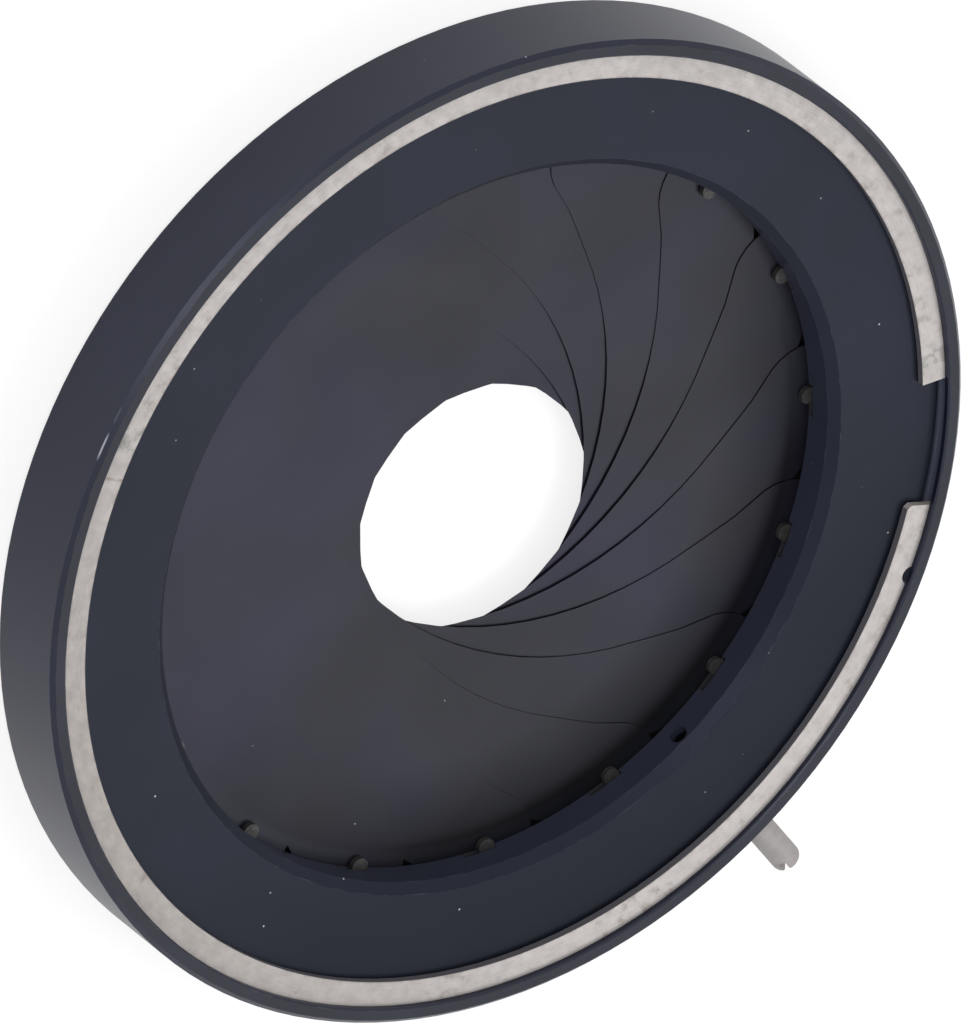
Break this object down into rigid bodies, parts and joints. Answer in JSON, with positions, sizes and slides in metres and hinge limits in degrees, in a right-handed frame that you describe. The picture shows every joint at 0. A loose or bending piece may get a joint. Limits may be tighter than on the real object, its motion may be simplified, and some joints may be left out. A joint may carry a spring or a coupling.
{
  "type": "iris diaphragm",
  "caption": "Drop-in iris diaphragm: a lever pin turns a drive ring that swings lapped blades to open or close a round beam aperture.",
  "frame": {"origin": "centre of the rear bore, in the plane of the housing's rear face", "axes": "+Z along the optical axis, from the rear face towards the front rim and its retaining ring; +X through the lever pin as the part stands; +Y completes a right-handed frame"},
  "size_m": [0.1028, 0.095, 0.0088],
  "materials": {
    "housing": "black anodised, turned",
    "ring": "black anodised, matte",
    "blade": "blackened spring steel, satin",
    "clip": "dull spring steel with stains",
    "pin": "plain steel",
    "lever": "plated steel"
  },
  "bodies": {
    "housing": {"housing": "housing", "retaining_ring": "clip"},
    "ring": {"drive_ring": "ring", "lever_pin": "lever"},
    "leaf_1": {"blade_1": "blade", "pivot_pin_1": "pin", "drive_pin_1": "pin"},
    "leaf_2": {"blade_2": "blade", "pivot_pin_2": "pin", "drive_pin_2": "pin"},
    "leaf_3": {"blade_3": "blade", "pivot_pin_3": "pin", "drive_pin_3": "pin"},
    "leaf_4": {"blade_4": "blade", "pivot_pin_4": "pin", "drive_pin_4": "pin"},
    "leaf_5": {"blade_5": "blade", "pivot_pin_5": "pin", "drive_pin_5": "pin"},
    "leaf_6": {"blade_6": "blade", "pivot_pin_6": "pin", "drive_pin_6": "pin"},
    "leaf_7": {"blade_7": "blade", "pivot_pin_7": "pin", "drive_pin_7": "pin"},
    "leaf_8": {"blade_8": "blade", "pivot_pin_8": "pin", "drive_pin_8": "pin"},
    "leaf_9": {"blade_9": "blade", "pivot_pin_9": "pin", "drive_pin_9": "pin"},
    "leaf_10": {"blade_10": "blade", "pivot_pin_10": "pin", "drive_pin_10": "pin"},
    "leaf_11": {"blade_11": "blade", "pivot_pin_11": "pin", "drive_pin_11": "pin"},
    "leaf_12": {"blade_12": "blade", "pivot_pin_12": "pin", "drive_pin_12": "pin"},
    "leaf_13": {"blade_13": "blade", "pivot_pin_13": "pin", "drive_pin_13": "pin"},
    "leaf_14": {"blade_14": "blade", "pivot_pin_14": "pin", "drive_pin_14": "pin"},
    "leaf_15": {"blade_15": "blade", "pivot_pin_15": "pin", "drive_pin_15": "pin"},
    "leaf_16": {"blade_16": "blade", "pivot_pin_16": "pin", "drive_pin_16": "pin"}
  },
  "joints": [
    {"name": "ring_turn", "type": "hinge", "parent": "housing", "child": "ring", "pos_m": [0, 0, 0], "axis": [0, 0, 1], "range_deg": [-69.02, 25.77]},
    {"name": "leaf_1_swing", "type": "hinge", "parent": "housing", "child": "leaf_1", "pos_m": [-0.0406, 0.00575, 0.0011], "axis": [0, 0, 1], "range_deg": [-33.68, 12.58]},
    {"name": "leaf_2_swing", "type": "hinge", "parent": "housing", "child": "leaf_2", "pos_m": [-0.0397, -0.01023, 0.0011], "axis": [0, 0, 1], "range_deg": [-33.68, 12.58]},
    {"name": "leaf_3_swing", "type": "hinge", "parent": "housing", "child": "leaf_3", "pos_m": [-0.03277, -0.02464, 0.0011], "axis": [0, 0, 1], "range_deg": [-33.68, 12.58]},
    {"name": "leaf_4_swing", "type": "hinge", "parent": "housing", "child": "leaf_4", "pos_m": [-0.02084, -0.03531, 0.0011], "axis": [0, 0, 1], "range_deg": [-33.68, 12.58]},
    {"name": "leaf_5_swing", "type": "hinge", "parent": "housing", "child": "leaf_5", "pos_m": [-0.00575, -0.0406, 0.0011], "axis": [0, 0, 1], "range_deg": [-33.68, 12.58]},
    {"name": "leaf_6_swing", "type": "hinge", "parent": "housing", "child": "leaf_6", "pos_m": [0.01023, -0.0397, 0.0011], "axis": [0, 0, 1], "range_deg": [-33.68, 12.58]},
    {"name": "leaf_7_swing", "type": "hinge", "parent": "housing", "child": "leaf_7", "pos_m": [0.02464, -0.03277, 0.0011], "axis": [0, 0, 1], "range_deg": [-33.68, 12.58]},
    {"name": "leaf_8_swing", "type": "hinge", "parent": "housing", "child": "leaf_8", "pos_m": [0.03531, -0.02084, 0.0011], "axis": [0, 0, 1], "range_deg": [-33.68, 12.58]},
    {"name": "leaf_9_swing", "type": "hinge", "parent": "housing", "child": "leaf_9", "pos_m": [0.0406, -0.00575, 0.0011], "axis": [0, 0, 1], "range_deg": [-33.68, 12.58]},
    {"name": "leaf_10_swing", "type": "hinge", "parent": "housing", "child": "leaf_10", "pos_m": [0.0397, 0.01023, 0.0011], "axis": [0, 0, 1], "range_deg": [-33.68, 12.58]},
    {"name": "leaf_11_swing", "type": "hinge", "parent": "housing", "child": "leaf_11", "pos_m": [0.03277, 0.02464, 0.0011], "axis": [0, 0, 1], "range_deg": [-33.68, 12.58]},
    {"name": "leaf_12_swing", "type": "hinge", "parent": "housing", "child": "leaf_12", "pos_m": [0.02084, 0.03531, 0.0011], "axis": [0, 0, 1], "range_deg": [-33.68, 12.58]},
    {"name": "leaf_13_swing", "type": "hinge", "parent": "housing", "child": "leaf_13", "pos_m": [0.00575, 0.0406, 0.0011], "axis": [0, 0, 1], "range_deg": [-33.68, 12.58]},
    {"name": "leaf_14_swing", "type": "hinge", "parent": "housing", "child": "leaf_14", "pos_m": [-0.01023, 0.0397, 0.0011], "axis": [0, 0, 1], "range_deg": [-33.68, 12.58]},
    {"name": "leaf_15_swing", "type": "hinge", "parent": "housing", "child": "leaf_15", "pos_m": [-0.02464, 0.03277, 0.0011], "axis": [0, 0, 1], "range_deg": [-33.68, 12.58]},
    {"name": "leaf_16_swing", "type": "hinge", "parent": "housing", "child": "leaf_16", "pos_m": [-0.03531, 0.02084, 0.0011], "axis": [0, 0, 1], "range_deg": [-33.68, 12.58]}
  ],
  "couplings": [
    {"joint": "leaf_1_swing", "follows": "ring_turn", "ratio": 0.4878},
    {"joint": "leaf_2_swing", "follows": "ring_turn", "ratio": 0.4878},
    {"joint": "leaf_3_swing", "follows": "ring_turn", "ratio": 0.4878},
    {"joint": "leaf_4_swing", "follows": "ring_turn", "ratio": 0.4878},
    {"joint": "leaf_5_swing", "follows": "ring_turn", "ratio": 0.4878},
    {"joint": "leaf_6_swing", "follows": "ring_turn", "ratio": 0.4878},
    {"joint": "leaf_7_swing", "follows": "ring_turn", "ratio": 0.4878},
    {"joint": "leaf_8_swing", "follows": "ring_turn", "ratio": 0.4878},
    {"joint": "leaf_9_swing", "follows": "ring_turn", "ratio": 0.4878},
    {"joint": "leaf_10_swing", "follows": "ring_turn", "ratio": 0.4878},
    {"joint": "leaf_11_swing", "follows": "ring_turn", "ratio": 0.4878},
    {"joint": "leaf_12_swing", "follows": "ring_turn", "ratio": 0.4878},
    {"joint": "leaf_13_swing", "follows": "ring_turn", "ratio": 0.4878},
    {"joint": "leaf_14_swing", "follows": "ring_turn", "ratio": 0.4878},
    {"joint": "leaf_15_swing", "follows": "ring_turn", "ratio": 0.4878},
    {"joint": "leaf_16_swing", "follows": "ring_turn", "ratio": 0.4878}
  ]
}
